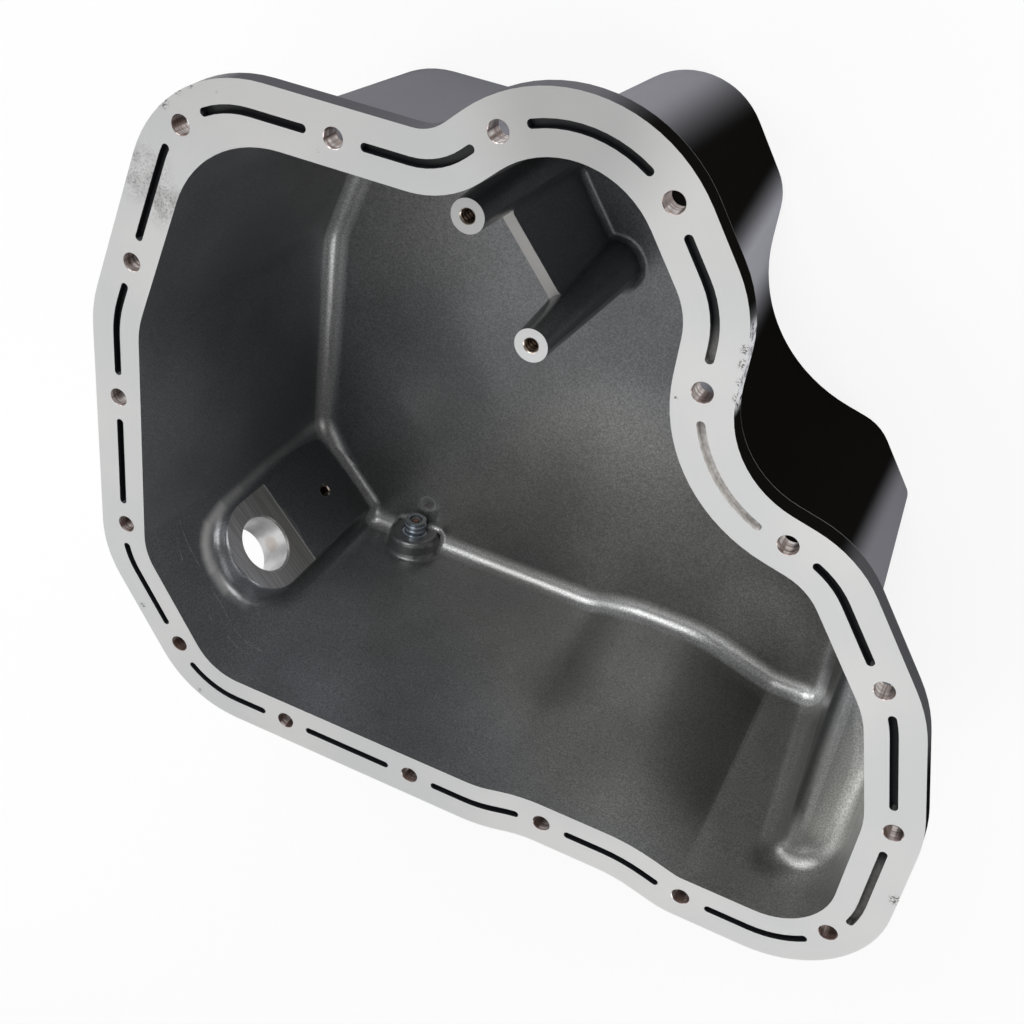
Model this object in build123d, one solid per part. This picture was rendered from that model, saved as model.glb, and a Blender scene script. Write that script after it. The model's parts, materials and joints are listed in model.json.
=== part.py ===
from build123d import *
from math import copysign, cos, radians, sin, tan
import os

# Engine oil pan, cast in aluminium, standing on its floor with the open flange upwards.
# All sizes are in millimetres. While it is modelled, Z = 0 is the milled sealing face and
# the pan hangs below it; place() then stands it on its floor.

# Overall sizes of the casting
inside_depth = 125.0
wall = 5.0
floor_thickness = 5.0
draft_angle = 3.8
floor_fillet = 9.0
outer_floor_fillet = 6.0

# Flange
flange_thickness = 8.0
flange_width = 20.6
flange_edge_round = 1.0
flange_root_fillet = 2.0
upper_left_outer_radius = 53.0

# Inner edge of the flange, counter-clockwise seen from above: x, y, corner radius
flange_corners = [
    (-155.3, 18.5, 38.0),
    (-155.3, -84.6, 26.0),
    (-122.5, -134.0, 24.0),
    (3.5, -134.0, 37.0),
    (22.0, -128.8, 65.0),
    (68.6, -128.8, 70.0),
    (89.4, -135.0, 12.0),
    (145.2, -135.0, 25.0),
    (145.2, -71.7, 40.0),
    (132.8, -28.3, 38.0),
    (102.9, 12.3, 23.0),
    (44.8, 26.8, 56.0),
    (44.8, 91.2, 25.0),
    (6.8, 144.4, 33.0),
    (-36.8, 102.3, 36.0),
    (-128.3, 102.3, 42.0),
]

# The lower wall stands steeper from the bend before its kink to the lower right corner
kink_number = 6
steep_draft = 1.7
steep_overlap = 40.0

# Bolt holes through the flange, clockwise from the upper left corner: x, y
bolt_hole_diameter = 7.0
bolt_hole_mouth = 7.4
bolt_holes = [
    (-135.7, 101.0),
    (-78.3, 112.1),
    (-22.9, 129.2),
    (34.1, 123.5),
    (54.9, 67.8),
    (93.0, 25.7),
    (135.9, -15.0),
    (155.4, -71.3),
    (147.8, -129.9),
    (92.6, -144.6),
    (32.4, -138.4),
    (-26.3, -143.7),
    (-85.4, -143.7),
    (-138.8, -126.6),
    (-164.1, -74.2),
    (-165.4, -14.4),
    (-157.2, 44.7),
]

# Sealant grooves between the bolt holes
groove_width = 3.0
groove_depth = 3.0
groove_inset = 9.9
groove_hole_gap = 11.4
upper_left_groove_radius = 36.0

# Shelf along the right-hand side
shelf_depth = 30.0
deep_wall_x = 122.5
shelf_shoulder_radius = 8.0

# Two threaded pillars and the web between them
pillar_a = (-47.0, 81.7)
pillar_b = (-17.0, 41.7)
pillar_top_depth = 40.0
pillar_top_diameter = 13.0
pillar_foot_diameter = 20.6
pillar_fillet = 3.0
pillar_thread_core = 5.0
pillar_thread_mouth = 6.2
pillar_thread_depth = 20.0
web_thickness = 4.6
web_depth_at_a = 63.5
web_depth_at_b = 70.5

# Level-sensor pad in the lower left corner
sensor_bore_diameter = 25.0
sensor_x = -130.5
sensor_y = -102.4
sensor_depth = 52.6
sensor_turn = 43.5
sensor_pad_radius = 21.5
sensor_pad_fillet = 5.0
sensor_pad_round = 2.5
sensor_pad_flare = 10.0
sensor_pad_length = 40.0
sensor_milling_depth = 0.5
sensor_milled_down_to = 72.0
sensor_bore_mouth = 26.6
sensor_seat_back = 17.0
sensor_seat_radius = 18.0
sensor_screw_depth = 102.0
sensor_screw_core = 5.0
sensor_screw_mouth = 6.2
sensor_screw_length = 7.0

# Drain boss and plug in the lower wall
drain_x = -89.5
drain_height = 11.5
drain_boss_radius = 12.0
drain_boss_height = 16.0
drain_boss_length = 16.5
drain_boss_round = 2.5
drain_boss_fillet = 2.5
drain_seat_radius = 11.0
drain_thread_diameter = 12.0
plug_clearance = 0.1
plug_tip_diameter = 10.0
plug_tip_length = 7.0
plug_tip_reach = 6.4
plug_head_width = 17.0
plug_head_height = 8.0
plug_head_chamfer = 1.0
plug_end_chamfer = 0.8
washer_thickness = 1.5
washer_diameter = 20.0
magnet_diameter = 4.6
magnet_length = 6.0
magnet_clearance = 0.1
magnet_recess = 0.8

# Ring left on the floor by an ejector pin
ejector_x = -87.0
ejector_y = -105.5
ejector_diameter = 8.0
ejector_depth = 0.4

# Values worked out from the sizes above
reach = 1000.0
outside_depth = inside_depth + floor_thickness
drain_depth = outside_depth - drain_height
drain_boss_face_y = flange_corners[2][1] + drain_boss_height
drain_seat_y = drain_boss_face_y - drain_boss_length
plug_tip_y = drain_boss_face_y + plug_tip_reach
sensor_normal = Vector(cos(radians(sensor_turn)), sin(radians(sensor_turn)), 0)


def grown(corners, grow):
    """Corners of the outline that runs outside the given one at a distance of grow."""
    result = []
    for i, (x, y, radius) in enumerate(corners):
        here = Vector(x, y)
        along_in = (here - Vector(*corners[i - 1][:2])).normalized()
        along_out = (Vector(*corners[(i + 1) % len(corners)][:2]) - here).normalized()
        out_in = Vector(along_in.Y, -along_in.X)
        out_out = Vector(along_out.Y, -along_out.X)
        point = here + (out_in + out_out) * (grow / (1 + out_in.dot(out_out)))
        turn = along_in.X * along_out.Y - along_in.Y * along_out.X
        result.append((point.X, point.Y, radius + copysign(grow, turn)))
    return result


def with_last_radius(corners, radius):
    """The same corners with another radius at the upper left one."""
    x, y, _ = corners[-1]
    return corners[:-1] + [(x, y, radius)]


def outline_wire(corners):
    """Closed line with a tangent arc at every corner."""
    points = [(x, y) for x, y, _ in corners]
    return FilletPolyline(*points, radius=[r for _, _, r in corners], close=True).wire()


def drafted(corners, depth):
    """Block under the outline, from the sealing face down, narrowing with the draft."""
    upward = extrude(make_face(outline_wire(corners)), depth, taper=draft_angle)
    return mirror(upward, about=Plane.XY)


def step_block(wall_x, top_depth):
    """All the space to the right of the deep wall and below the shelf."""
    lean = tan(radians(draft_angle))
    profile = Polyline(
        (wall_x - top_depth * lean, -top_depth),
        (reach, -top_depth),
        (reach, -reach),
        (wall_x - reach * lean, -reach),
        close=True,
    )
    return extrude(Plane.XZ * make_face(profile), reach, both=True)


def steep_stretch(corners, depth):
    """Block behind the two stretches of the lower wall that stand steeper than the others."""
    start, kink, corner = corners[kink_number - 1 : kink_number + 2]
    slope = (kink[1] - start[1]) / (kink[0] - start[0])
    outline = Polyline(
        (start[0] - steep_overlap, start[1] - steep_overlap * slope),
        kink[:2],
        (corner[0] + steep_overlap, corner[1]),
        (corner[0] + steep_overlap, corner[1] + steep_overlap),
        (start[0] - steep_overlap, corner[1] + steep_overlap),
        close=True,
    )
    upward = extrude(make_face(outline), depth, taper=steep_draft)
    return mirror(upward, about=Plane.XY) - step_block(corner[0], 0)


def walled(corners, depth):
    """Drafted block with the steeper stretches of its lower wall, their ends rounded."""
    start, kink, corner = corners[kink_number - 1 : kink_number + 2]
    across = (corner[0], start[1], 1.0)
    plain = corners[: kink_number - 1] + [across] + corners[kink_number + 2 :]
    block = drafted(plain, depth) + steep_stretch(corners, depth)
    lean = sin(radians(steep_draft))
    steep = [f for f in block.faces().filter_by(GeomType.PLANE) if abs(f.normal_at().Z + lean) < 0.002]
    upright = [edge for face in steep for edge in face.edges() if abs((edge % 0.5).Z) > 0.9]
    middles = sorted({tuple(round(v, 3) for v in edge @ 0.5) for edge in upright})
    for middle, radius in zip(middles, (start[2], kink[2], corner[2])):
        here = min(block.edges(), key=lambda edge: ((edge @ 0.5) - Vector(*middle)).length)
        block = fillet(here, radius)
    return block


def level_face(body, z):
    """The flat horizontal face of a body at height z."""
    return [f for f in body.faces().filter_by(Plane.XY) if abs(f.center().Z - z) < 0.01][0]


def edges_used_once(faces):
    """Edges round a patch of faces, without the ones between its faces."""
    edges = [edge for face in faces for edge in face.edges()]
    return [edge for edge in edges if edges.count(edge) == 1]


def edges_on(body, *solids):
    """Edges of a body whose middles lie on the surface of every given solid."""
    surfaces = [solid.shell() for solid in solids]
    return [e for e in body.edges() if all(s.distance_to(e @ 0.5) < 0.01 for s in surfaces)]


def stepped_body(corners, depth, wall_x, shelf, shoulder, root):
    """Walled block with the shelf stepped out of it, its shoulder and lower edges rounded."""
    body = walled(corners, depth) - step_block(wall_x, shelf)
    shoulder_edge = level_face(body, -shelf).edges().sort_by(lambda edge: edge.center().X)[0]
    middle = shoulder_edge @ 0.5
    body = fillet(shoulder_edge, shoulder)
    rounding = min(body.faces().filter_by(GeomType.CYLINDER), key=lambda face: face.distance_to(middle))
    upright = [f for f in body.faces().filter_by(GeomType.PLANE) if f.normal_at().X > 0.99]
    step_wall = min(upright, key=lambda f: f.center().Z)
    lower_edges = edges_used_once([level_face(body, -shelf), rounding, step_wall])
    lower_edges += [e for e in level_face(body, -depth).edges() if e not in lower_edges]
    return fillet(lower_edges, root)


def cavity():
    """The space inside the pan."""
    return stepped_body(
        flange_corners, inside_depth, deep_wall_x, shelf_depth, shelf_shoulder_radius, floor_fillet
    )


def outer_body():
    """The outside of the walls and the floor."""
    return stepped_body(
        grown(flange_corners, wall),
        outside_depth,
        deep_wall_x + wall,
        shelf_depth + floor_thickness,
        shelf_shoulder_radius - wall,
        outer_floor_fillet,
    )


def flange_plate():
    """The flange as a full plate, its lower edge rounded."""
    outer = with_last_radius(grown(flange_corners, flange_width), upper_left_outer_radius)
    plate = extrude(make_face(outline_wire(outer)), -flange_thickness)
    return fillet(level_face(plate, -flange_thickness).edges(), flange_edge_round)


def shell():
    """Walls, floor and flange as one block, filled inside."""
    block = outer_body() + flange_plate()
    root_edges = level_face(block, -flange_thickness).inner_wires()[0].edges()
    return fillet(root_edges, flange_root_fillet)


def sensor_plane(forward):
    """Plane of the milled sensor pad moved into the pan, its centre on the bore axis."""
    centre = Vector(sensor_x, sensor_y, -sensor_depth) + sensor_normal * forward
    return Plane(origin=centre, x_dir=Vector(-sensor_normal.Y, sensor_normal.X, 0), z_dir=sensor_normal)


def sensor_pad():
    """Cast pad with a round top, its sides widening towards the wall, its rim rounded."""
    back_radius = sensor_pad_radius + sensor_pad_length * tan(radians(sensor_pad_flare))
    outline = Circle(back_radius)
    outline += Pos(0, -inside_depth / 2) * Rectangle(2 * back_radius, inside_depth)
    back = sensor_plane(sensor_milling_depth - sensor_pad_length)
    pad = extrude(back * outline, sensor_pad_length, taper=sensor_pad_flare)
    face = pad.faces().sort_by(Axis((0, 0, 0), sensor_normal))[-1]
    rim = [edge for edge in face.edges() if (edge @ 0.5).Z > -inside_depth]
    return fillet(rim, sensor_pad_round)


def sensor_milling():
    """Skim cut that levels the upper part of the pad."""
    drop = sensor_milled_down_to - sensor_depth
    outline = Circle(sensor_pad_radius)
    outline += Pos(0, -drop / 2) * Rectangle(2 * sensor_pad_radius, drop)
    return extrude(sensor_plane(0) * outline, sensor_pad_round)


def pillar(x, y):
    """Tapered pillar standing on the floor."""
    height = inside_depth - pillar_top_depth
    feet_down = (Align.CENTER, Align.CENTER, Align.MIN)
    cone = Cone(pillar_foot_diameter / 2, pillar_top_diameter / 2, height, align=feet_down)
    return Pos(x, y, -inside_depth) * cone


def web():
    """Thin wall between the pillars, its top sloping down from the first to the second."""
    a = Vector(*pillar_a)
    b = Vector(*pillar_b)
    side = Plane(origin=a, x_dir=b - a, z_dir=(b - a).cross(Vector(0, 0, 1)))
    span = (b - a).length
    profile = Polyline(
        (0, -web_depth_at_a),
        (span, -web_depth_at_b),
        (span, -inside_depth),
        (0, -inside_depth),
        close=True,
    )
    return extrude(side * make_face(profile), web_thickness / 2, both=True)


def drain_cylinder(radius, start_y, end_y):
    """Cylinder on the axis of the drain plug."""
    facing = Plane(origin=(drain_x, start_y, -drain_depth), z_dir=(0, 1, 0))
    return facing * extrude(Circle(radius), end_y - start_y)


def drain_boss():
    """Round boss on the inside of the lower wall, its rim rounded."""
    boss = drain_cylinder(drain_boss_radius, drain_seat_y, drain_boss_face_y)
    return fillet(boss.edges().sort_by(Axis.Y)[-1], drain_boss_round)


def inner_space():
    """The cavity without everything that stands in it, all feet blended in."""
    space = cavity()
    pad = sensor_pad()
    with_pad = space - pad
    space = fillet(edges_on(with_pad, space, pad), sensor_pad_fillet)

    ribs = pillar(*pillar_a) + pillar(*pillar_b) + web()
    with_ribs = space - ribs
    feet = edges_on(with_ribs, space, ribs)
    joints = [e for e in edges_on(with_ribs, ribs, web()) if e not in feet and abs((e % 0.5).Z) > 0.9]
    space = fillet(feet + joints, pillar_fillet)

    boss = drain_boss()
    with_boss = space - boss
    return fillet(edges_on(with_boss, space, boss), drain_boss_fillet)


def position_on(line, point):
    """How far along a line its nearest place to a point lies, from 0 to 1."""
    _, nearest, _ = line.distance_to_with_closest_points(Vector(*point))
    return line.param_at_point(nearest)


def stretch(line, start, end):
    """The stretch of a closed line between two positions, also across its first point."""
    if start < end:
        return line.trim(start, end)
    return Wire(line.trim(start, 1.0).edges() + line.trim(0.0, end).edges())


def sealant_grooves():
    """Blind grooves with round ends along the middle of the flange, between the bolt holes."""
    middle = with_last_radius(grown(flange_corners, groove_inset), upper_left_groove_radius)
    line = outline_wire(middle)
    gap = groove_hole_gap / line.length
    positions = [position_on(line, hole) for hole in bolt_holes]
    grooves = []
    for start, end in zip(positions[1:] + positions[:1], positions):
        path = stretch(line, start + gap, end - gap)
        grooves.append(extrude(make_face(path.offset_2d(groove_width / 2)), -groove_depth))
    return grooves


def drilled(plane, diameter, depth, mouth):
    """Hole going back from a plane, its mouth widened by a chamfer."""
    chamfer_depth = (mouth - diameter) / 2
    hole = extrude(plane * Circle(diameter / 2), -depth)
    return hole + extrude(plane * Circle(mouth / 2), -chamfer_depth, taper=45)


def bolt_hole(x, y):
    """Hole straight through the flange and the fillet below it."""
    depth = flange_thickness + 2 * flange_root_fillet
    return drilled(Plane(origin=(x, y, 0)), bolt_hole_diameter, depth, bolt_hole_mouth)


def pillar_thread(x, y):
    """Threaded hole from the top of a pillar, drawn at its core diameter."""
    top = Plane(origin=(x, y, -pillar_top_depth))
    return drilled(top, pillar_thread_core, pillar_thread_depth, pillar_thread_mouth)


def sensor_holes():
    """Bore for the level sensor and the threaded hole for its clip below the bore."""
    bore = drilled(sensor_plane(0), sensor_bore_diameter, sensor_pad_length, sensor_bore_mouth)
    cast_face = sensor_plane(sensor_milling_depth)
    screw_place = Plane(cast_face * Pos(0, sensor_depth - sensor_screw_depth))
    screw = drilled(screw_place, sensor_screw_core, sensor_screw_length, sensor_screw_mouth)
    return [bore, screw]


def casting():
    """The bare pan, machined."""
    block = shell()
    block += extrude(sensor_plane(-sensor_seat_back) * Circle(sensor_seat_radius), sensor_seat_back / 2)
    block += drain_cylinder(drain_seat_radius, drain_seat_y, drain_boss_face_y - drain_boss_round)
    block -= inner_space()
    block -= sensor_milling()
    cuts = sensor_holes() + sealant_grooves()
    cuts += [bolt_hole(x, y) for x, y in bolt_holes]
    cuts += [pillar_thread(*pillar_a), pillar_thread(*pillar_b)]
    cuts.append(drain_cylinder(drain_thread_diameter / 2, drain_seat_y - wall, drain_boss_face_y + wall))
    mark = extrude(Circle(ejector_diameter / 2), wall)
    cuts.append(Pos(ejector_x, ejector_y, -inside_depth - ejector_depth) * mark)
    return block - cuts


def drain_plug():
    """Plug with a hexagon head, a plain shank and a thinner tip, bored for its magnet."""
    head_y = drain_seat_y - washer_thickness
    shank_radius = drain_thread_diameter / 2 - plug_clearance
    outer_face = Plane(origin=(drain_x, head_y - plug_head_height, -drain_depth), z_dir=(0, 1, 0))
    hexagon = RegularPolygon(plug_head_width / 2, 6, major_radius=False)
    head = outer_face * extrude(hexagon, plug_head_height)
    plug = head + drain_cylinder(shank_radius, head_y, plug_tip_y - plug_tip_length)
    plug += drain_cylinder(plug_tip_diameter / 2, head_y, plug_tip_y)
    plug -= drain_cylinder(magnet_diameter / 2 + magnet_clearance, magnet_seat_y(), plug_tip_y + wall)
    return plug


def magnet_seat_y():
    """Where the magnet rests against the bottom of its hole."""
    return plug_tip_y - magnet_recess - magnet_length


def plug_magnet():
    """Round magnet in the tip of the plug."""
    return drain_cylinder(magnet_diameter / 2, magnet_seat_y(), plug_tip_y - magnet_recess)


def plug_washer():
    """Flat sealing ring between the plug head and the pan."""
    disc = drain_cylinder(washer_diameter / 2, drain_seat_y - washer_thickness, drain_seat_y)
    hole_radius = drain_thread_diameter / 2 + plug_clearance
    return disc - drain_cylinder(hole_radius, drain_seat_y - wall, drain_seat_y + wall)


def place(shape, centre):
    """Stand the pan on its floor, centred on the origin."""
    return Pos(-centre.X, -centre.Y, outside_depth) * shape


def export_all():
    """Write one file for every piece."""
    os.makedirs("parts", exist_ok=True)
    centre = flange_plate().bounding_box().center()
    pieces = {
        "pan_casting": casting(),
        "drain_plug": drain_plug(),
        "plug_magnet": plug_magnet(),
        "plug_washer": plug_washer(),
    }
    for name, piece in pieces.items():
        placed = place(piece, centre)
        export_step(placed, f"parts/{name}.step")
        print(name, placed.is_valid, len(placed.solids()), round(placed.volume / 1000, 2))
        print(placed.bounding_box())


export_all()
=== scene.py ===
# %% [markdown]
# # Engine oil pan
#
# A deep pan cast in aluminium closes the underside of an engine and holds its oil.
# The solids come from the CAD model, so this script gives them their finishes,
# sets up a small photo studio round them and places the camera.

# %% Load the solids
import json
import math

import bmesh
import bpy
from mathutils import Matrix, Vector
from mathutils.bvhtree import BVHTree


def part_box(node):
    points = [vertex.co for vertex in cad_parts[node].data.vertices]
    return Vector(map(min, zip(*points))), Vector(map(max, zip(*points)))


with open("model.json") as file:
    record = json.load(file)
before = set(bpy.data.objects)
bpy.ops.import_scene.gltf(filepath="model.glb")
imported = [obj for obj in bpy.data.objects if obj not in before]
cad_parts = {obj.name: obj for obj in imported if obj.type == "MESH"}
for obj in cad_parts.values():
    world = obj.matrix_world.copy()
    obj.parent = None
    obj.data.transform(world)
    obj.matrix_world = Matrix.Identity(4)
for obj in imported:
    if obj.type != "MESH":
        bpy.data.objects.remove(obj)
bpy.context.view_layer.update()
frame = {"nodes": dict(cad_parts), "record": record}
nodes = frame["nodes"]

# %% [markdown]
# ## The camera
#
# The pan is seen from above, from the side of its lobe, with the camera rolled far
# over. The place and the three directions were worked out from the flange, which is
# flat, and from the upright walls, which all point to one vanishing point.

# %% Place the camera
camera_place = Vector((0.136207, 0.276194, 0.497518))
camera_right = Vector((0.90031, 0.12789, -0.41603)).normalized()
camera_up = Vector((-0.33683, 0.81012, -0.47987)).normalized()
camera_back = camera_right.cross(camera_up)
camera_up = camera_back.cross(camera_right)
camera_data = bpy.data.cameras.new("camera")
camera_data.lens = 48.58
camera_data.sensor_width = 36.0
camera = bpy.data.objects.new("camera", camera_data)
turn = Matrix((camera_right, camera_up, camera_back)).transposed()
camera.matrix_world = Matrix.Translation(camera_place) @ turn.to_4x4()
bpy.context.scene.collection.objects.link(camera)
bpy.context.scene.camera = camera
print("camera at", camera_place, "looking along", -camera_back)

# %% [markdown]
# ## Telling the surfaces of one casting apart
#
# The casting is a single solid with several finishes: grey cast metal inside, a
# smooth dark skin outside, and bright metal where a cutter has been. Each face gets
# its finish by where it lies, so the places of the holes are read from the record
# that came with the solids. All sizes are in metres.

# %% Places on the casting
casting = nodes["pan_casting"]
mesh = casting.data
pan_tree = BVHTree.FromPolygons([v.co for v in mesh.vertices], [p.vertices for p in mesh.polygons])
mounts = {m["name"]: m for m in frame["record"]["mounts"]}
bolt_places = [Vector(m["pos_m"]) for name, m in mounts.items() if name.startswith("flange_hole")]
pillar_places = [Vector(mounts[name]["pos_m"]) for name in ("pillar_thread_a", "pillar_thread_b")]
bore_place = Vector(mounts["level_sensor_bore"]["pos_m"])
into_pan = -Vector(mounts["level_sensor_bore"]["axis"])
clip_place = Vector(mounts["sensor_clip_thread"]["pos_m"])
upright = Vector((0, 0, 1))
almost_upright = Vector((0.02, 0.01, 1)).normalized()
print(len(bolt_places), "bolt holes,", len(pillar_places), "pillars, sensor bore at", bore_place)

# %% [markdown]
# The next sizes say how far from those places each kind of surface reaches. They are a
# little larger than the real ones, to take in the chamfers round the holes. A hair is
# the small step by which a ray starts clear of its own face.

# %% How far each kind of surface reaches
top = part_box("pan_casting")[1][2]
flange_under = top - 0.008
bolt_hole_reach = 0.0039
thread_reach = 0.0033
pillar_top_reach = 0.0068
pillar_foot_z = 0.04
bore_reach = 0.0135
pad_hole_depth = 0.02
pad_rise = 0.0089
pad_edge_z = 0.057
groove_bottom = top - 0.0032
groove_reach = 0.0045
web_reach = 0.0026
web_foot_z = 0.05
hair = 0.0001


def off_axis(point, place, axis):
    """Distance of a point from a line."""
    along = (point - place).dot(axis)
    return (point - place - axis * along).length


def nearest_axis(point, places):
    """Distance of a point from the nearest of several upright axes."""
    return min(off_axis(point, place, upright) for place in places)


print("flange from", flange_under, "to", top)

# %% [markdown]
# Most surfaces are known by their distance from a hole. A few need more: a groove's
# wall has the other wall close in front of it, the top of the web lies on the line
# between the pillars, and the rim of the flange has nothing of the pan beyond it.

# %% Tests for the harder surfaces
def in_pad_hole(centre, place, radius):
    """Inside one of the two holes of the sensor pad."""
    depth = abs((centre - place).dot(into_pan))
    return depth < pad_hole_depth and off_axis(centre, place, into_pan) < radius


def on_milled_pad(centre, normal):
    """On the part of the pad that was skimmed, which stands highest from the wall."""
    rise = (centre - bore_place).dot(into_pan)
    return abs(rise - pad_rise) < 2 * hair and normal.dot(into_pan) > 0.99 and centre.z > pad_edge_z


def is_groove(centre, normal):
    """A groove's floor lies 3 mm down; its walls face each other across 3 mm."""
    start = centre + normal * hair
    if centre.z < groove_bottom or pan_tree.ray_cast(start, upright)[0] is not None:
        return False
    return normal.z > 0.99 or pan_tree.ray_cast(start, normal, groove_reach)[0] is not None


def is_web_top(centre, normal):
    """The top of the web slopes down gently between the two pillars."""
    along = pillar_places[1] - pillar_places[0]
    share = (centre - pillar_places[0]).dot(along) / along.length_squared
    level = Vector((centre.x, centre.y, pillar_places[0].z))
    from_line = (level - pillar_places[0] - along * share).length
    return 0.1 < share < 0.9 and from_line < web_reach and normal.z > 0.9 and centre.z > web_foot_z


def is_rim(centre, normal):
    """The upright side of the flange looks away from the pan, with nothing beyond it."""
    beyond = pan_tree.ray_cast(centre + normal * 2 * hair, normal)[0]
    return centre.z > flange_under and abs(normal.z) < 0.01 and beyond is None


def is_inside(centre, normal):
    """A line almost straight up leaves the pan, because the flange hides all outer walls."""
    hit = pan_tree.ray_cast(centre + normal * 2 * hair, almost_upright)[0]
    return hit is None and centre.z < top - hair and not is_rim(centre, normal)


# %% [markdown]
# Each face now goes through the tests in turn, and the first one that fits decides.

# %% Sort the faces of the casting
def milled_finish(centre, normal):
    """The finish that a cutter or a drill has left, if one was there."""
    if centre.z > top - hair and normal.z > 0.99:
        return "milled_flange"
    if centre.z > flange_under - 0.002 and nearest_axis(centre, bolt_places) < bolt_hole_reach:
        return "drilled_hole"
    from_pillar = nearest_axis(centre, pillar_places)
    if from_pillar < thread_reach and centre.z > pillar_foot_z:
        return "threaded_hole"
    if from_pillar < pillar_top_reach and normal.z > 0.99:
        return "milled_flange"
    if in_pad_hole(centre, clip_place, thread_reach):
        return "threaded_hole"
    if in_pad_hole(centre, bore_place, bore_reach) and abs(normal.dot(into_pan)) < 0.9:
        return "smooth_bore" if abs(normal.dot(into_pan)) < 0.3 else "milled_pad"
    return "milled_pad" if on_milled_pad(centre, normal) else None


def finish_of(polygon):
    """Which finish a face of the casting has."""
    centre, normal = polygon.center, polygon.normal
    milled = milled_finish(centre, normal)
    if milled:
        return milled
    if is_groove(centre, normal):
        return "groove"
    if is_web_top(centre, normal):
        return "web_top"
    # The rounded lower edge of the flange gets a painted highlight.
    if flange_under < centre.z < flange_under + 0.001 and -0.98 < normal.z < -0.05:
        return "edge_highlight"
    return "cast_inside" if is_inside(centre, normal) else "dark_outside"


finishes = [
    "cast_inside",
    "dark_outside",
    "edge_highlight",
    "milled_flange",
    "milled_pad",
    "smooth_bore",
    "drilled_hole",
    "threaded_hole",
    "groove",
    "web_top",
]
face_finish = [finishes.index(finish_of(p)) for p in mesh.polygons]
for index, name in enumerate(finishes):
    print(name, face_finish.count(index), "faces")

# %% [markdown]
# ## Tools for the materials
#
# Every finish starts from the same Principled shader and reads its place from the
# Object coordinates, which are metres in the frame of the pan. So a mark that sits at
# one spot of the real pan can be put there by its coordinates. Most of the tools below
# add one node, or a few, and return the output to build on.

# %% Nodes for materials
made = {}


def make(name, build):
    """Make a finish by its function and keep it under its name."""
    made[name] = build()
    print(name, "made with", len(made[name].node_tree.nodes), "nodes")


def new_material(name, color, metallic, roughness):
    """A Principled material and the parts needed to refine it."""
    material = bpy.data.materials.new(name)
    material.use_nodes = True
    tree = material.node_tree
    shader = tree.nodes["Principled BSDF"]
    shader.inputs["Base Color"].default_value = (*color, 1)
    shader.inputs["Metallic"].default_value = metallic
    shader.inputs["Roughness"].default_value = roughness
    place = tree.nodes.new("ShaderNodeTexCoord").outputs["Object"]
    return material, tree, shader, place


def feed(tree, socket, value):
    """Connect an output, or set a plain value."""
    if isinstance(value, bpy.types.NodeSocket):
        tree.links.new(value, socket)
    else:
        socket.default_value = value


def calculate(tree, operation, *values):
    """One step of arithmetic."""
    node = tree.nodes.new("ShaderNodeMath")
    node.operation = operation
    for socket, value in zip(node.inputs, values):
        feed(tree, socket, value)
    return node.outputs["Value"]


def vector_step(tree, operation, output, *values):
    """One step of arithmetic with vectors."""
    node = tree.nodes.new("ShaderNodeVectorMath")
    node.operation = operation
    for socket, value in zip(node.inputs, values):
        feed(tree, socket, value)
    return node.outputs[output]


def scaled(tree, vector, factor):
    """A vector or a colour made larger or smaller."""
    node = tree.nodes.new("ShaderNodeVectorMath")
    node.operation = "SCALE"
    feed(tree, node.inputs[0], vector)
    feed(tree, node.inputs["Scale"], factor)
    return node.outputs["Vector"]


def split(tree, vector):
    """The three parts of a vector."""
    axes = tree.nodes.new("ShaderNodeSeparateXYZ")
    tree.links.new(vector, axes.inputs["Vector"])
    return axes.outputs["X"], axes.outputs["Y"], axes.outputs["Z"]


def facing(tree):
    """The three parts of the direction that the surface faces."""
    return split(tree, tree.nodes.new("ShaderNodeNewGeometry").outputs["Normal"])


# %% [markdown]
# A finish is mostly masks: numbers that are 1 where a mark or a change lies and fade to
# 0 round it. They are made from distances and combined like shapes.

# %% Masks
def ramp(tree, value, start, end):
    """Goes smoothly from 0 at start to 1 at end."""
    node = tree.nodes.new("ShaderNodeMapRange")
    node.interpolation_type = "SMOOTHSTEP"
    feed(tree, node.inputs["Value"], value)
    node.inputs["From Min"].default_value = min(start, end)
    node.inputs["From Max"].default_value = max(start, end)
    node.inputs["To Min"].default_value = 0.0 if start < end else 1.0
    node.inputs["To Max"].default_value = 1.0 if start < end else 0.0
    return node.outputs["Result"]


def product(tree, *masks):
    """Where all masks meet; a plain number among them makes the result weaker."""
    result = masks[0]
    for mask in masks[1:]:
        result = calculate(tree, "MULTIPLY", result, mask)
    return result


def strongest(tree, masks):
    """The largest of several masks."""
    result = masks[0]
    for mask in masks[1:]:
        result = calculate(tree, "MAXIMUM", result, mask)
    return result


def without(tree, mask, other):
    """A mask with another one cut out of it."""
    return product(tree, mask, calculate(tree, "SUBTRACT", 1.0, other))


def changed(tree, level, mask, change):
    """A level raised or lowered by a share of itself where the mask is 1."""
    return product(tree, level, calculate(tree, "MULTIPLY_ADD", mask, change, 1.0))


def near_point(tree, place, centre, inner, outer):
    """1 within the inner distance of a point, fading to 0 at the outer one."""
    return ramp(tree, vector_step(tree, "DISTANCE", "Value", place, centre), outer, inner)


def near_line(tree, place, start, end, width):
    """1 on a straight stroke, fading to 0 at half its width."""
    start, end = Vector(start), Vector(end)
    along = (end - start).normalized()
    offset = vector_step(tree, "SUBTRACT", "Vector", place, start)
    travel = vector_step(tree, "DOT_PRODUCT", "Value", offset, along)
    travel = calculate(tree, "MINIMUM", calculate(tree, "MAXIMUM", travel, 0.0), (end - start).length)
    gap = vector_step(tree, "DISTANCE", "Value", offset, scaled(tree, along, travel))
    return ramp(tree, gap, width / 2, 0.0)


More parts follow.
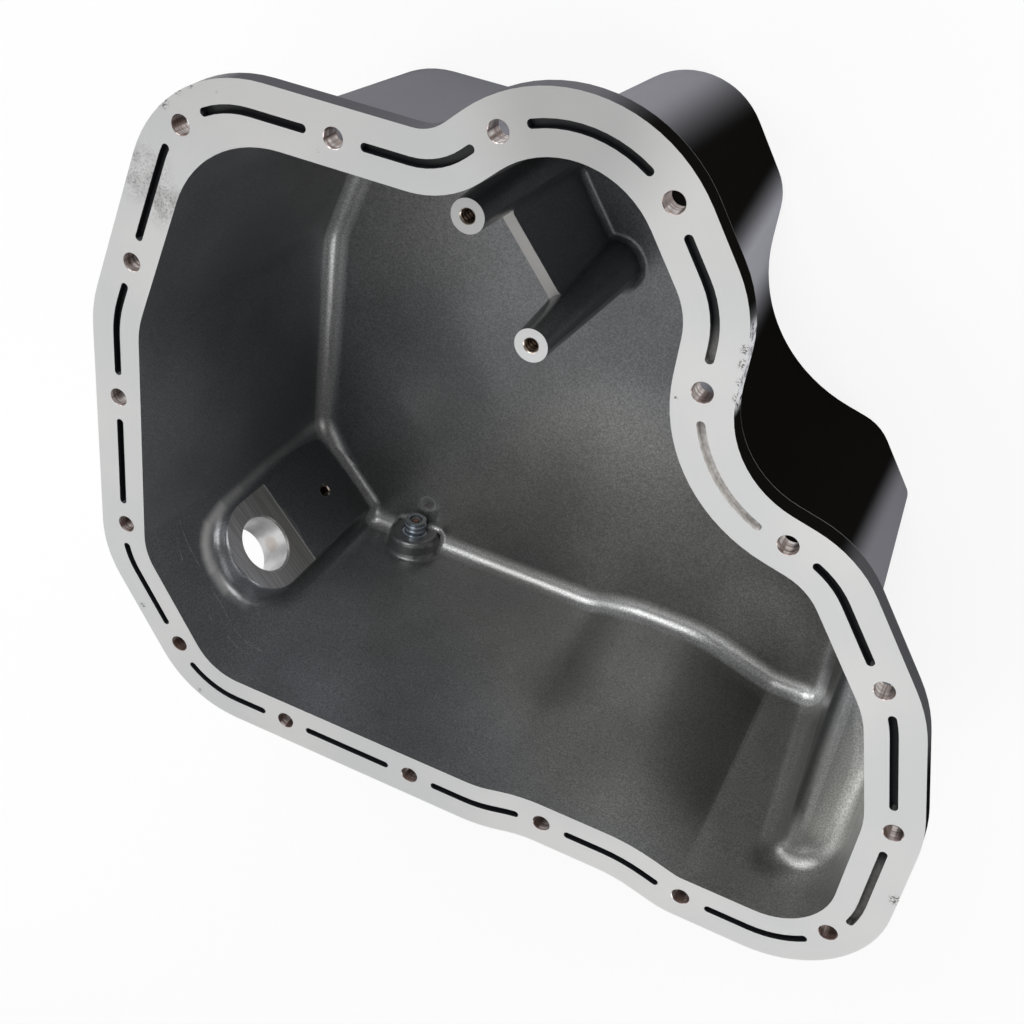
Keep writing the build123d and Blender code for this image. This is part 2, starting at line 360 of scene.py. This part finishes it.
# %% [markdown]
# The last tools mix colours by a mask, make noise for grain and clouds, and turn a
# pattern into a shallow relief that catches the light.

# %% Colours, noise and relief
def mixed(tree, factor, low, high):
    """A colour between two colours."""
    node = tree.nodes.new("ShaderNodeMix")
    node.data_type = "RGBA"
    feed(tree, node.inputs["Factor"], factor)
    colors = [socket for socket in node.inputs if socket.type == "RGBA"]
    for socket, color in zip(colors, (low, high)):
        feed(tree, socket, (*color, 1) if isinstance(color, tuple) else color)
    return [socket for socket in node.outputs if socket.type == "RGBA"][0]


def noise(tree, place, scale, detail=3.0, stretch=(1, 1, 1)):
    """Noise with a stated number of lumps per metre, if wanted squeezed in one direction."""
    mapping = tree.nodes.new("ShaderNodeMapping")
    mapping.inputs["Scale"].default_value = stretch
    texture = tree.nodes.new("ShaderNodeTexNoise")
    texture.inputs["Scale"].default_value = scale
    texture.inputs["Detail"].default_value = detail
    tree.links.new(place, mapping.inputs["Vector"])
    tree.links.new(mapping.outputs["Vector"], texture.inputs["Vector"])
    return texture.outputs["Fac"]


def bands(tree, place, direction, spacing):
    """Bands along one axis; at a scale of 1 the wave texture has them pi / 10 apart."""
    wave = tree.nodes.new("ShaderNodeTexWave")
    wave.bands_direction = direction
    wave.inputs["Scale"].default_value = math.pi / 10 / spacing
    tree.links.new(place, wave.inputs["Vector"])
    return wave.outputs["Fac"]


def bumped(tree, shader, height, distance, strength):
    """Relief from a height of 0 to 1, its depth in metres."""
    bump = tree.nodes.new("ShaderNodeBump")
    bump.inputs["Distance"].default_value = distance
    bump.inputs["Strength"].default_value = strength
    tree.links.new(height, bump.inputs["Height"])
    tree.links.new(bump.outputs["Normal"], shader.inputs["Normal"])


# %% [markdown]
# ## Cast metal inside
#
# The inside is bare cast metal that has gone dark grey. Wide patches lighter or darker
# than the rest are painted light and shade: painted highlights and painted shade at listed
# places, painted shade on the lower wall before its kink and on the step up to the shelf,
# and a painted highlight along the shelf. The step also has a weaker coat, so it stays
# dull. A painted picture would need a map of the whole surface, so each patch is instead
# a place on the pan, with the distance over which it fades and how much lighter or
# darker the metal is there.

# %% Painted light and shade on the cast metal
# Painted highlights (factor above 1) and painted shade (factor below 1) on the floor, walls and shelf.
# Place, distance at full strength, distance where it ends, factor
light_and_shade_patches = [
    ((0.0108, -0.0197, 0.005), 0.010, 0.050, 1.25),
    ((0.0828, -0.0964, 0.005), 0.008, 0.030, 1.80),
    ((-0.1058, -0.0973, 0.005), 0.008, 0.030, 0.75),
    ((0.1150, -0.1240, 0.009), 0.003, 0.012, 1.60),
    ((0.0745, -0.1253, 0.121), 0.012, 0.040, 1.30),
    ((-0.0063, -0.1279, 0.097), 0.010, 0.035, 1.15),
    ((0.0141, -0.1237, 0.060), 0.008, 0.028, 0.75),
    ((-0.1458, 0.0089, 0.063), 0.012, 0.050, 0.75),
    ((0.1239, -0.1301, 0.104), 0.004, 0.012, 0.55),
    ((0.1350, -0.1220, 0.101), 0.005, 0.020, 1.50),
]
lower_wall_y = (-0.110, -0.118)
kink_x = (0.0954, 0.0948)
before_kink_x = (0.060, 0.092)
kink_top_z = (0.122, 0.085)
kink_foot_z = (0.012, 0.020)
step_x = (0.112, 0.118)
shoulder_x = (0.140, 0.134)
shelf_end_y = (-0.114, -0.102)
shelf_z = (0.106, 0.101)
step_slope = (-0.20, -0.50)
shelf_highlight_line = [(0.1415, -0.040, 0.100), (0.1415, -0.104, 0.100)]
shelf_highlight_width = 0.030


def kink_shade_mask(tree, place):
    """1 on the lower wall just before its kink, where painted shade makes the metal darkest."""
    x, y, z = split(tree, place)
    before_kink = product(tree, ramp(tree, x, *before_kink_x), ramp(tree, x, *kink_x))
    height = product(tree, ramp(tree, z, *kink_top_z), ramp(tree, z, *kink_foot_z))
    return product(tree, ramp(tree, y, *lower_wall_y), before_kink, height)


def step_mask(tree, place):
    """1 on the step up to the shelf and on its shoulder; it carries painted shade and a weaker coat."""
    x, y, z = split(tree, place)
    across = product(tree, ramp(tree, x, *step_x), ramp(tree, x, *shoulder_x))
    along = product(tree, ramp(tree, y, *shelf_end_y), ramp(tree, z, *shelf_z))
    return product(tree, across, along, ramp(tree, facing(tree)[0], *step_slope))


def light_and_shade_level(tree, place):
    """Painted light and shade: how much lighter or darker than usual the metal is at each place."""
    level = 1.0
    for spot, inner, outer, factor in light_and_shade_patches:
        level = changed(tree, level, near_point(tree, place, spot, inner, outer), factor - 1)
    # Painted shade before the kink of the lower wall and on the step up to the shelf.
    level = changed(tree, level, kink_shade_mask(tree, place), -0.42)
    level = changed(tree, level, step_mask(tree, place), -0.55)
    # A painted highlight along the middle of the shelf.
    return changed(tree, level, near_line(tree, place, *shelf_highlight_line, shelf_highlight_width), 1.9)


print(len(light_and_shade_patches), "patches lighter or darker")

# %% [markdown]
# The rounded foot of the walls is painted paler, a painted highlight, all round the floor
# except beside the pillars. A pale line of painted highlight also runs round the foot of
# the sensor pad. It is a chain of points, each with a weight, and a stroke takes the mean
# weight of its two ends.

# %% Painted highlights on the feet
pad_foot_highlight = [
    ((-0.1400, -0.0764, 0.0082), 0.30),
    ((-0.1424, -0.0771, 0.0194), 0.18),
    ((-0.1431, -0.0781, 0.0338), 0.18),
    ((-0.1439, -0.0791, 0.0509), 0.26),
    ((-0.1444, -0.0811, 0.0700), 0.32),
    ((-0.1446, -0.0825, 0.0835), 0.60),
    ((-0.1440, -0.0858, 0.0947), 1.00),
    ((-0.1426, -0.0885, 0.0985), 1.00),
    ((-0.1409, -0.0912, 0.1013), 1.00),
    ((-0.1382, -0.0957, 0.1035), 0.90),
    ((-0.1352, -0.1003, 0.1044), 0.80),
    ((-0.1291, -0.1092, 0.1034), 0.40),
    ((-0.1227, -0.1177, 0.0975), 0.20),
]
pad_foot_highlight_width = 0.0085
foot_top_z = (0.020, 0.014)
off_wall = (0.12, 0.40)
off_floor = (0.98, 0.85)
pillar_blend_z = 0.007
pillar_blend = (0.020, 0.032)


def wall_foot_highlight_mask(tree, place):
    """1 on the rounded foot of the walls, where neither the floor nor a wall begins; it carries a painted
    highlight.
    """
    _, _, slope = facing(tree)
    _, _, z = split(tree, place)
    rounded = product(tree, ramp(tree, slope, *off_wall), ramp(tree, slope, *off_floor))
    mask = product(tree, rounded, ramp(tree, z, *foot_top_z))
    for spot in pillar_places:
        pillar_foot = near_point(tree, place, (spot.x, spot.y, pillar_blend_z), *pillar_blend)
        mask = without(tree, mask, pillar_foot)
    return mask


def pad_foot_highlight_mask(tree, place):
    """The painted highlight round the foot of the pad, as strong as its weights say."""
    strokes = []
    for (start, one), (end, two) in zip(pad_foot_highlight, pad_foot_highlight[1:]):
        strokes.append(product(tree, near_line(tree, place, start, end, pad_foot_highlight_width), (one + two) / 2))
    return strongest(tree, strokes)


print(len(pad_foot_highlight), "points round the pad")

# %% [markdown]
# A few light scratches lie beside the sensor pad, where a tool has slipped: each is a
# chain of short strokes, broken up by noise. Beside them is a scuffed spot, and a thin
# ring on the floor shows where an ejector pin pushed the casting out of its die.

# %% Scratches and the pin's ring
scratches = [
    [
        (-0.1486, -0.0764, 0.1085),
        (-0.1463, -0.0836, 0.1086),
        (-0.1426, -0.0897, 0.1092),
        (-0.1382, -0.0963, 0.1091),
    ],
    [
        (-0.1306, -0.1078, 0.1093),
        (-0.1276, -0.1123, 0.1088),
        (-0.1234, -0.1185, 0.1091),
        (-0.1188, -0.1236, 0.1096),
        (-0.1133, -0.1269, 0.1100),
        (-0.1085, -0.1283, 0.1095),
        (-0.1055, -0.1286, 0.1094),
    ],
    [(-0.1471, -0.0824, 0.1127), (-0.1423, -0.0909, 0.1155)],
    [(-0.1277, -0.1131, 0.1171), (-0.1254, -0.1165, 0.1174)],
    [(-0.1197, -0.1233, 0.1145), (-0.1146, -0.1267, 0.1150)],
]
scratch_width = 0.0008
scuffed_place = (-0.1180, -0.1229, 0.0941)
pin_place = (-0.08195, -0.10154, 0.0046)
pin_inner = (0.0030, 0.0036)
pin_outer = (0.0044, 0.0039)


def scratch_mask(tree, place):
    """1 on the scratches, and less on the scuffed spot."""
    strokes = [
        near_line(tree, place, start, end, scratch_width)
        for chain in scratches
        for start, end in zip(chain, chain[1:])
    ]
    marks = product(tree, strongest(tree, strokes), ramp(tree, noise(tree, place, 900, 2), 0.38, 0.5))
    spot = near_point(tree, place, scuffed_place, 0.003, 0.010)
    scuff = product(tree, spot, ramp(tree, noise(tree, place, 700, 3), 0.52, 0.62), 0.4)
    return strongest(tree, [marks, scuff])


def pin_ring_mask(tree, place):
    """1 on the ring that the ejector pin has left."""
    radius = vector_step(tree, "DISTANCE", "Value", place, pin_place)
    return product(tree, ramp(tree, radius, *pin_inner), ramp(tree, radius, *pin_outer))


print(len(scratches), "scratches")

# %% [markdown]
# The metal itself is half metallic, because its skin is dull, and a film of oil over it
# is a coat with a sharper shine. A fine grain covers it, and wide clouds of a cooler
# and a warmer grey cross it.

# %% Cast metal
def cast_inside():
    material, tree, shader, place = new_material("cast_inside", (0.2, 0.2, 0.2), 0.55, 0.33)
    tree.links.new(changed(tree, 1.0, step_mask(tree, place), -0.85), shader.inputs["Coat Weight"])
    shader.inputs["Coat Roughness"].default_value = 0.28
    clouds = ramp(tree, noise(tree, place, 9, 4), 0.36, 0.66)
    color = mixed(tree, clouds, (0.135, 0.139, 0.137), (0.225, 0.230, 0.237))
    tint = ramp(tree, noise(tree, place, 5, 2), 0.4, 0.62)
    warmth_and_highlight = mixed(tree, tint, (0.92, 0.94, 1.0), (1.0, 0.98, 0.92))
    # The rounded feet of the walls are made up to 2.5 times lighter: a painted highlight.
    warmth_and_highlight = mixed(tree, wall_foot_highlight_mask(tree, place), warmth_and_highlight, (2.5, 2.46, 2.42))
    color = vector_step(tree, "MULTIPLY", "Vector", color, warmth_and_highlight)
    grain = noise(tree, place, 1500, 2)
    speckled = mixed(tree, ramp(tree, grain, 0.30, 0.75), (0.7, 0.7, 0.7), (1.35, 1.35, 1.35))
    color = vector_step(tree, "MULTIPLY", "Vector", color, speckled)
    # Painted light and shade from the patches, the kink, the step and the shelf.
    color = scaled(tree, color, light_and_shade_level(tree, place))
    # A pale line round the foot of the pad: a painted highlight.
    color = mixed(tree, pad_foot_highlight_mask(tree, place), color, (0.80, 0.79, 0.78))
    color = mixed(tree, product(tree, pin_ring_mask(tree, place), 0.4), color, (0.55, 0.55, 0.55))
    color = mixed(tree, product(tree, scratch_mask(tree, place), 0.7), color, (0.42, 0.43, 0.44))
    tree.links.new(color, shader.inputs["Base Color"])
    bumped(tree, shader, grain, 0.0001, 0.5)
    return material


make("cast_inside", cast_inside)

# %% [markdown]
# ## Dark outer skin
#
# The outside is smoother and almost black, with a warm brown tone. Three places have a
# painted sheen, a paler colour that stands for reflections: the end of the lobe, the
# hollow beside it, and the far corner. On the rim of the flange the same painted sheen is
# dimmer. The sides away from the lobe keep a little real shine and a faint painted sheen.
# The lower edge of the flange has a fine light line, a painted highlight, and a dented
# stretch of the rim beside the hollow shows bright metal. Each range below is where a mask
# starts to rise and where it is full.

# %% Outer skin
rim_z = (0.1205, 0.1215)
lobe_end_x = (0.030, 0.008)
lobe_end_y = (0.085, 0.105)
left_side_x = (-0.09, -0.12)
left_side_y = (-0.06, 0.105)
towards_lobe_x = (-0.07, -0.02)
hollow_x = (0.036, 0.042)
hollow_from_y = (0.046, 0.070)
hollow_to_y = (0.104, 0.088)
hollow_rim_y = (0.082, 0.070)
corner_x = (0.113, 0.121)
corner_y = (-0.04, -0.02)
far_side_x = (-0.110, -0.140)
far_side_y = (-0.055, -0.095)
shelf_rim_x = (0.120, 0.140)
far_side_shine = 0.4
dented_rim = (0.0703, 0.0830, 0.1265)


def lobe_end_sheen_mask(tree, x, y, rim):
    """The painted sheen on the end of the lobe and the left side, paler towards the lobe."""
    end = product(tree, ramp(tree, x, *lobe_end_x), ramp(tree, y, *lobe_end_y))
    left = product(tree, ramp(tree, x, *left_side_x), ramp(tree, y, *left_side_y))
    towards_lobe = calculate(tree, "MULTIPLY_ADD", ramp(tree, x, *towards_lobe_x), 0.17, 0.43)
    return changed(tree, product(tree, strongest(tree, [end, left]), towards_lobe), rim, -0.45)


def hollow_sheen_mask(tree, x, y, rim):
    """The painted sheen in the hollow beside the lobe, without the part of the rim nearer the far corner.
    """
    along = product(tree, ramp(tree, y, *hollow_from_y), ramp(tree, y, *hollow_to_y))
    hollow = product(tree, along, ramp(tree, x, *hollow_x))
    return without(tree, hollow, product(tree, rim, ramp(tree, y, *hollow_rim_y)))


def corner_sheen_mask(tree, x, y, rim):
    """The painted sheen on the far corner beside the shelf."""
    corner = product(tree, ramp(tree, x, *corner_x), ramp(tree, y, *corner_y))
    return changed(tree, corner, rim, -0.6)


def far_side_mask(tree, x, y, rim):
    """The sides away from the lobe, without the rim beside the shelf."""
    far_side = strongest(tree, [ramp(tree, y, *far_side_y), ramp(tree, x, *far_side_x)])
    return without(tree, far_side, product(tree, rim, ramp(tree, x, *shelf_rim_x)))


def outer_skin(name, dark, painted_sheen, roughness):
    material, tree, shader, place = new_material(name, dark, 0.0, roughness)
    x, y, z = split(tree, place)
    rim = ramp(tree, z, *rim_z)
    far_side = far_side_mask(tree, x, y, rim)
    tree.links.new(product(tree, far_side, far_side_shine), shader.inputs["Specular IOR Level"])
    # Painted sheen: a paler colour at these places stands for reflections; the far sides get a faint one
    # beside their real shine.
    places = [
        lobe_end_sheen_mask(tree, x, y, rim),
        hollow_sheen_mask(tree, x, y, rim),
        product(tree, corner_sheen_mask(tree, x, y, rim), 0.52),
        product(tree, far_side, 0.12),
    ]
    color = mixed(tree, strongest(tree, places), dark, painted_sheen)
    broken = ramp(tree, noise(tree, place, 420, 4), 0.40, 0.47)
    chips = product(tree, near_point(tree, place, dented_rim, 0.011, 0.017), broken)
    tree.links.new(mixed(tree, chips, color, (0.6, 0.6, 0.62)), shader.inputs["Base Color"])
    bumped(tree, shader, noise(tree, place, 700, 2), 0.00005, 0.3)
    return material


def dark_outside():
    return outer_skin("dark_outside", (0.0045, 0.0042, 0.0038), (0.280, 0.280, 0.310), 0.40)


# A fine light line on the rounded lower edge of the flange: a painted highlight.
def edge_highlight():
    return outer_skin("edge_highlight", (0.10, 0.10, 0.10), (0.30, 0.30, 0.33), 0.35)


make("dark_outside", dark_outside)
make("edge_highlight", edge_highlight)

# %% [markdown]
# ## Milled faces
#
# A face cutter has left the flange and the pillar tops bright and even. The flange
# has lain about: dark specks of old dirt sit in one stretch of it, and small dents
# mark its outer edge. Painted light and shade make it a little paler towards the shelf
# and on the pillar tops, and dimmer at the lobe.

# %% Flange
stains = [((-0.1462, 0.0839, 0.13), 0.004, 0.016), ((-0.1382, 0.0757, 0.13), 0.003, 0.013)]
flange_shade_place = (0.005, 0.147, 0.130)
dents = [
    ((-0.1375, 0.1109, 0.13), 0.0030),
    ((-0.1315, 0.1161, 0.13), 0.0020),
    ((-0.1268, 0.1193, 0.13), 0.0015),
    ((0.0695, 0.0900, 0.13), 0.0022),
    ((0.0703, 0.0850, 0.13), 0.0026),
    ((0.0708, 0.0790, 0.13), 0.0022),
    ((0.0708, 0.0735, 0.13), 0.0020),
    ((0.1696, -0.0968, 0.13), 0.0030),
    ((-0.1521, -0.1099, 0.13), 0.0018),
    ((-0.1234, -0.1442, 0.13), 0.0015),
    ((-0.0785, 0.1104, 0.13), 0.0007),
    ((-0.1168, 0.1196, 0.13), 0.0007),
    ((0.0523, 0.0671, 0.13), 0.0008),
]
flange_x = (-0.14, 0.16)
lobe_side_y = (0.080, 0.125)
pillar_top_z = (0.110, 0.100)


def flange_light_and_shade(tree, place):
    """Painted light and shade: paler towards the shelf and on the pillars, dimmer at the lobe."""
    x, y, z = split(tree, place)
    level = calculate(tree, "MULTIPLY_ADD", ramp(tree, x, *flange_x), 0.30, 0.93)
    level = changed(tree, level, ramp(tree, y, *lobe_side_y), -0.10)
    level = changed(tree, level, ramp(tree, z, *pillar_top_z), 0.22)
    return changed(tree, level, near_point(tree, place, flange_shade_place, 0.012, 0.045), -0.28)


def dirt_mask(tree, place):
    """Specks in a thin haze, on the stained stretch."""
    specks = ramp(tree, noise(tree, place, 1100, 3), 0.50, 0.64)
    haze = ramp(tree, noise(tree, place, 160, 3), 0.35, 0.7)
    stained = strongest(tree, [near_point(tree, place, *stain) for stain in stains])
    return product(tree, stained, calculate(tree, "MULTIPLY_ADD", specks, 0.45, product(tree, haze, 0.45)))


def dent_mask(tree, place):
    """The dents, each with a broken outline."""
    dented = strongest(tree, [near_point(tree, place, spot, size * 0.3, size) for spot, size in dents])
    return product(tree, dented, ramp(tree, noise(tree, place, 1300, 3), 0.48, 0.56))


def milled_flange():
    material, tree, shader, place = new_material("milled_flange", (0.6, 0.6, 0.6), 0.15, 0.55)
    cloud = ramp(tree, noise(tree, place, 16, 3), 0.35, 0.65)
    color = mixed(tree, cloud, (0.59, 0.595, 0.595), (0.64, 0.637, 0.63))
    # Painted light and shade across the flange and the pillar tops.
    color = scaled(tree, color, flange_light_and_shade(tree, place))
    color = mixed(tree, dirt_mask(tree, place), color, (0.16, 0.145, 0.145))
    color = mixed(tree, dent_mask(tree, place), color, (0.08, 0.075, 0.07))
    tree.links.new(color, shader.inputs["Base Color"])
    bumped(tree, shader, noise(tree, place, 2500, 2), 0.00003, 0.3)
    return material


print(len(stains), "stains and", len(dents), "dents on the flange")
make("milled_flange", milled_flange)

# %% [markdown]
# The pad for the level sensor was skimmed by a cutter that ran level across it, so
# its marks are fine lines. The cut ends in a bright edge, and below that edge the pad
# is still as cast. The bore through it shines, with a painted brown reflection on one side.

# %% Sensor pad and its bore
pad_cut_z = 0.0577
pad_edge_top_z = 0.0587
edge_blend = 0.0003
bore_reflection_place = (-0.1302, -0.1081, 0.0656)


def milled_pad():
    material, tree, shader, place = new_material("milled_pad", (0.4, 0.4, 0.4), 0.4, 0.40)
    _, _, z = split(tree, place)
    lines = noise(tree, place, 40, 4, (1, 1, 45))
    color = mixed(tree, ramp(tree, z, 0.060, 0.100), (0.30, 0.295, 0.285), (0.48, 0.48, 0.50))
    dark_lines = product(tree, ramp(tree, lines, 0.60, 0.42), 0.55)
    color = mixed(tree, dark_lines, color, (0.17, 0.165, 0.165))
    above_cut = ramp(tree, z, pad_cut_z, pad_cut_z + edge_blend)
    edge = product(tree, ramp(tree, z, pad_edge_top_z, pad_edge_top_z - edge_blend), above_cut)
    color = mixed(tree, product(tree, edge, 0.8), color, (0.62, 0.61, 0.59))
    below_cut = ramp(tree, z, pad_cut_z + edge_blend, pad_cut_z)
    color = mixed(tree, below_cut, color, (0.17, 0.172, 0.172))
    tree.links.new(color, shader.inputs["Base Color"])
    bumped(tree, shader, lines, 0.00006, 0.35)
    return material


def smooth_bore():
    material, tree, shader, place = new_material("smooth_bore", (0.8, 0.8, 0.8), 0.2, 0.35)
    rings = ramp(tree, noise(tree, place, 300, 2), 0.3, 0.7)
    color = mixed(tree, rings, (0.58, 0.58, 0.58), (0.68, 0.68, 0.68))
    # A brown patch on one side of the bore: a painted reflection.
    brown_reflection = near_point(tree, place, bore_reflection_place, 0.002, 0.005)
    color = mixed(tree, product(tree, brown_reflection, 0.6), color, (0.42, 0.33, 0.28))
    tree.links.new(color, shader.inputs["Base Color"])
    return material


make("milled_pad", milled_pad)
make("smooth_bore", smooth_bore)

# %% [markdown]
# Drilled holes show rings from the drill and a brownish film of old oil. In the
# threaded ones the solids have plain walls, so bands in colour and relief stand for the
# turns of the thread. They are about 2 mm apart, which is coarser than the real pitch,
# so that they still show from where the camera stands.

# %% Holes
thread_spacing = 0.0019739


def drilled_hole():
    material, tree, shader, place = new_material("drilled_hole", (0.6, 0.55, 0.52), 0.6, 0.3)
    rings = noise(tree, place, 60, 3, (1, 1, 18))
    streaks = ramp(tree, noise(tree, place, 210, 3, (1, 1, 0.04)), 0.44, 0.54)
    film = mixed(tree, streaks, (0.10, 0.065, 0.055), (0.85, 0.80, 0.78))
    color = mixed(tree, ramp(tree, rings, 0.30, 0.70), (0.20, 0.14, 0.12), film)
    tree.links.new(color, shader.inputs["Base Color"])
    bumped(tree, shader, rings, 0.0002, 0.5)
    return material


def threaded_hole():
    material, tree, shader, place = new_material("threaded_hole", (0.35, 0.30, 0.26), 0.9, 0.28)
    turns = bands(tree, place, "Z", thread_spacing)
    color = mixed(tree, turns, (0.14, 0.105, 0.085), (0.72, 0.62, 0.53))
    tree.links.new(color, shader.inputs["Base Color"])
    bumped(tree, shader, turns, 0.0004, 0.8)
    return material


make("drilled_hole", drilled_hole)
make("threaded_hole", threaded_hole)

# %% [markdown]
# The grooves hold the liquid gasket. They were cast, so they are dark, but three
# stretches carry dried sealant: a thick pale one and two thinner ones.

# %% Grooves
groove_color = (0.010, 0.011, 0.014)
sealant_stretches = [
    ((0.0742, 0.0489, 0.13), 0.020, 0.034, 1.0),
    ((0.1602, -0.1005, 0.127), 0.012, 0.020, 0.25),
    ((0.0610, 0.0840, 0.127), 0.002, 0.012, 0.3),
]


def groove():
    material, tree, shader, place = new_material("groove", groove_color, 0.0, 0.4)
    stretches = [
        product(tree, near_point(tree, place, spot, inner, outer), share)
        for spot, inner, outer, share in sealant_stretches
    ]
    grain = ramp(tree, noise(tree, place, 600, 3), 0.3, 0.7)
    sealant = mixed(tree, grain, (0.52, 0.50, 0.48), (0.74, 0.72, 0.70))
    color = mixed(tree, strongest(tree, stretches), groove_color, sealant)
    tree.links.new(color, shader.inputs["Base Color"])
    return material


print(len(sealant_stretches), "stretches of sealant")
make("groove", groove)

# %% [markdown]
# The top of the web between the pillars is paler than the cast metal round it. With that
# the casting has all its finishes, and each face takes the slot that it was sorted into.

# %% Give the casting its finishes
def web_top():
    return new_material("web_top", (0.55, 0.54, 0.52), 0.3, 0.45)[0]


make("web_top", web_top)
mesh.materials.clear()
for name in finishes:
    mesh.materials.append(made[name])
mesh.polygons.foreach_set("material_index", face_finish)
mesh.update()
print(len(mesh.materials), "finishes on the casting")

# %% [markdown]
# ## Plug, magnet and washer
#
# The plug is zinc-plated steel with a bluish shine. Its magnet is brown with age, and
# the sealing ring under its head is soft aluminium. The end of the plug and its magnet
# are turned parts, so their colours change with the distance from the plug's axis, and
# bands stand for its thread too.

# %% Small pieces
plug_axis = Vector(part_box("plug_magnet")[0]).lerp(Vector(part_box("plug_magnet")[1]), 0.5)
tip_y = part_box("drain_plug")[1][1]
plug_thread_spacing = 0.0024674


def from_plug_axis(tree, place):
    """Distance from the axis of the plug, which runs along Y."""
    x, _, z = split(tree, place)
    across = calculate(tree, "SUBTRACT", x, plug_axis.x)
    upward = calculate(tree, "SUBTRACT", z, plug_axis.z)
    squares = calculate(tree, "MULTIPLY_ADD", across, across, product(tree, upward, upward))
    return calculate(tree, "SQRT", squares)


def zinc_plated():
    material, tree, shader, place = new_material("zinc_plated", (0.50, 0.57, 0.66), 0.8, 0.25)
    _, y, _ = split(tree, place)
    turns = bands(tree, place, "Y", plug_thread_spacing)
    stem = mixed(tree, turns, (0.26, 0.32, 0.40), (0.80, 0.88, 0.95))
    magnet_edge = ramp(tree, from_plug_axis(tree, place), 0.0031, 0.0028)
    tip = mixed(tree, magnet_edge, (0.42, 0.44, 0.46), (0.05, 0.05, 0.055))
    color = mixed(tree, ramp(tree, y, tip_y - 0.0003, tip_y - 0.0001), stem, tip)
    tree.links.new(color, shader.inputs["Base Color"])
    bumped(tree, shader, turns, 0.0003, 0.6)
    return material


def magnet():
    material, tree, shader, place = new_material("magnet", (0.30, 0.19, 0.15), 0.4, 0.35)
    radius = from_plug_axis(tree, place)
    color = mixed(tree, ramp(tree, radius, 0.0009, 0.0012), (0.45, 0.22, 0.14), (0.09, 0.07, 0.06))
    color = mixed(tree, ramp(tree, radius, 0.0016, 0.0018), color, (0.40, 0.38, 0.36))
    tree.links.new(color, shader.inputs["Base Color"])
    return material


def give(name, material):
    """Make a material the only one of a node."""
    nodes[name].data.materials.clear()
    nodes[name].data.materials.append(material)


give("drain_plug", zinc_plated())
give("plug_magnet", magnet())
give("plug_washer", new_material("soft_aluminium", (0.70, 0.70, 0.71), 1.0, 0.4)[0])
print("plug axis at x", plug_axis.x, "z", plug_axis.z)

# %% [markdown]
# ## The studio
#
# The pan stands on a white floor that fills the picture. The camera sees the floor as
# plain white with a faint shadow, so part of it is light that only the camera and
# reflections see, and the rest is ordinary matt white.

# %% Floor
scene = bpy.context.scene
scene.view_settings.view_transform = "Standard"
floor_mesh = bpy.data.meshes.new("floor")
shape = bmesh.new()
bmesh.ops.create_grid(shape, x_segments=1, y_segments=1, size=3.0)
shape.to_mesh(floor_mesh)
shape.free()
floor = bpy.data.objects.new("floor", floor_mesh)
scene.collection.objects.link(floor)
shadow_share = 0.15


def white_floor():
    material, tree, shader, _ = new_material("white_floor", (1.0, 1.0, 1.0), 0.0, 1.0)
    glow = tree.nodes.new("ShaderNodeEmission")
    glow.inputs["Strength"].default_value = 1.0
    rays = tree.nodes.new("ShaderNodeLightPath").outputs
    seen = strongest(tree, [rays["Is Camera Ray"], rays["Is Glossy Ray"], rays["Is Transmission Ray"]])
    mix = tree.nodes.new("ShaderNodeMixShader")
    tree.links.new(product(tree, seen, 1.0 - shadow_share), mix.inputs["Fac"])
    tree.links.new(shader.outputs["BSDF"], mix.inputs[1])
    tree.links.new(glow.outputs["Emission"], mix.inputs[2])
    tree.links.new(mix.outputs["Shader"], tree.nodes["Material Output"].inputs["Surface"])
    return material


floor.data.materials.append(white_floor())
print("floor", tuple(floor.dimensions))

# %% [markdown]
# Eight soft lamps stand round the pan. The two overhead light the flange and the floor
# of the pan. The two beyond the lobe draw the long highlight along the foot of the
# lower wall. Those on the left light the walls across from them, and the one on the
# right draws the highlight down the left corner. The world adds almost nothing.

# %% World and lamps
world = bpy.data.worlds.new("world")
scene.world = world
world.use_nodes = True
world.node_tree.nodes["Background"].inputs["Color"].default_value = (1, 1, 1, 1)
world.node_tree.nodes["Background"].inputs["Strength"].default_value = 0.02
lamp_target = Vector((0, 0, 0.05))


def softbox(name, direction, distance, width, power):
    """Square lamp in a direction from the pan, shining at it."""
    lamp = bpy.data.lights.new(name, "AREA")
    lamp.shape = "RECTANGLE"
    lamp.size = lamp.size_y = width
    lamp.energy = power
    thing = bpy.data.objects.new(name, lamp)
    thing.location = Vector(direction).normalized() * distance + lamp_target
    thing.rotation_euler = Vector(direction).to_track_quat("Z", "Y").to_euler()
    scene.collection.objects.link(thing)


softbox("overhead", (0.0, 0.0, 1.0), 1.4, 1.0, 3.7)
softbox("overhead_back", (-0.25, -0.5, 0.85), 1.4, 1.0, 1.6)
softbox("beyond_low", (0.2, 0.95, 0.25), 2.0, 1.0, 15)
softbox("beyond_high", (-0.2, 0.8, 0.55), 2.0, 1.0, 18)
softbox("left_low", (-0.85, 0.5, 0.25), 2.0, 1.0, 9.5)
softbox("left_high", (-0.75, 0.4, 0.55), 2.0, 1.0, 5.4)
softbox("left_back", (-0.7, -0.5, 0.5), 1.4, 0.9, 5.7)
softbox("from_right", (0.84, -0.33, 0.23), 1.3, 0.9, 11.5)
print(len(bpy.data.lights), "lamps")
